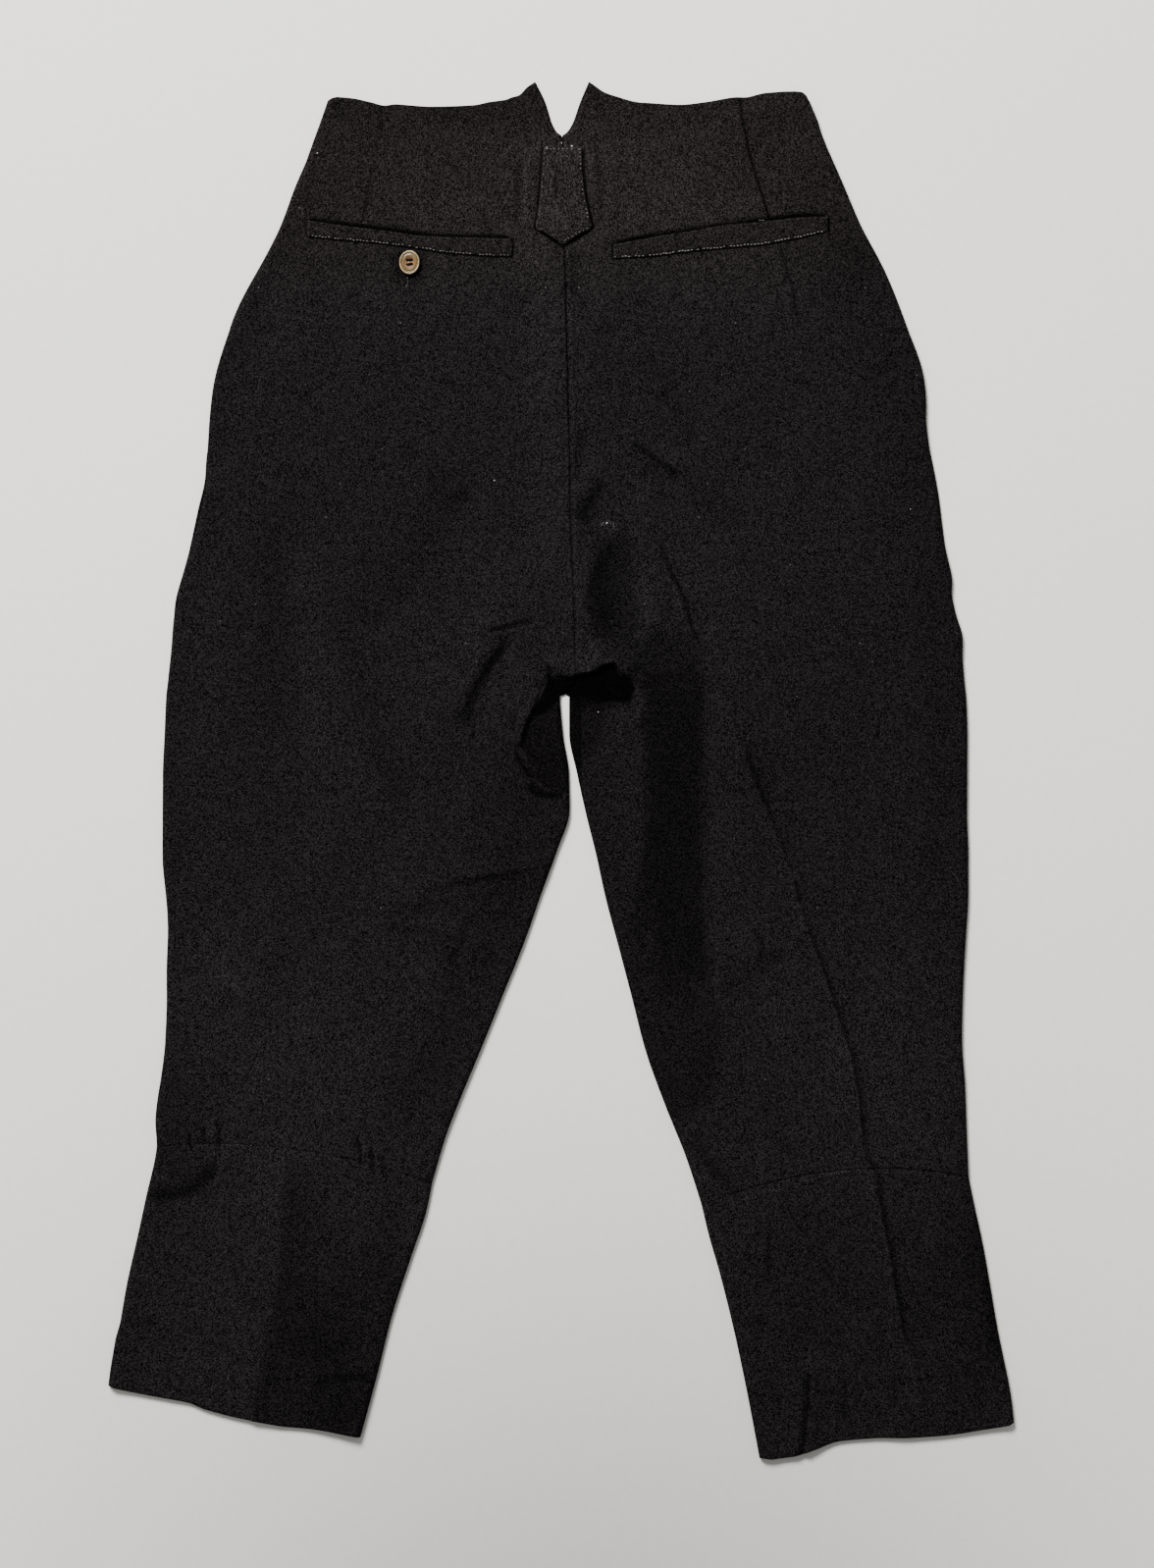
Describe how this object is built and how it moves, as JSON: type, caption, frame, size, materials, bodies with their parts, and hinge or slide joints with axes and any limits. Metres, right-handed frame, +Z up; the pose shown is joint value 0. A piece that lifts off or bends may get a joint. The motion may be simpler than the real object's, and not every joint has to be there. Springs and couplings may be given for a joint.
{
  "type": "knee breeches",
  "caption": "Black cotton knee breeches laid flat with the back upwards, with welt pockets, a notched waist and a centre-back tab.",
  "frame": {"origin": "on the floor under the middle of the garment's bounding box", "axes": "+Y from the hems towards the waist, +Z up out of the back, -X the wearer's left leg"},
  "size_m": [0.656, 1, 0.0083],
  "materials": {
    "cotton": "matte heavy cotton with a fine worn grain",
    "horn": "satin tan horn"
  },
  "bodies": {
    "root": {"back_left_panel": "cotton", "back_right_panel": "cotton", "back_left_lower_leg": "cotton", "back_right_lower_leg": "cotton", "front_left_panel": "cotton", "front_right_panel": "cotton", "front_left_lower_leg": "cotton", "front_right_lower_leg": "cotton", "fly_underlap": "cotton", "centre_back_tab": "cotton", "pocket_welt_left": "cotton", "pocket_welt_right": "cotton", "pocket_button": "horn"}
  },
  "joints": []
}
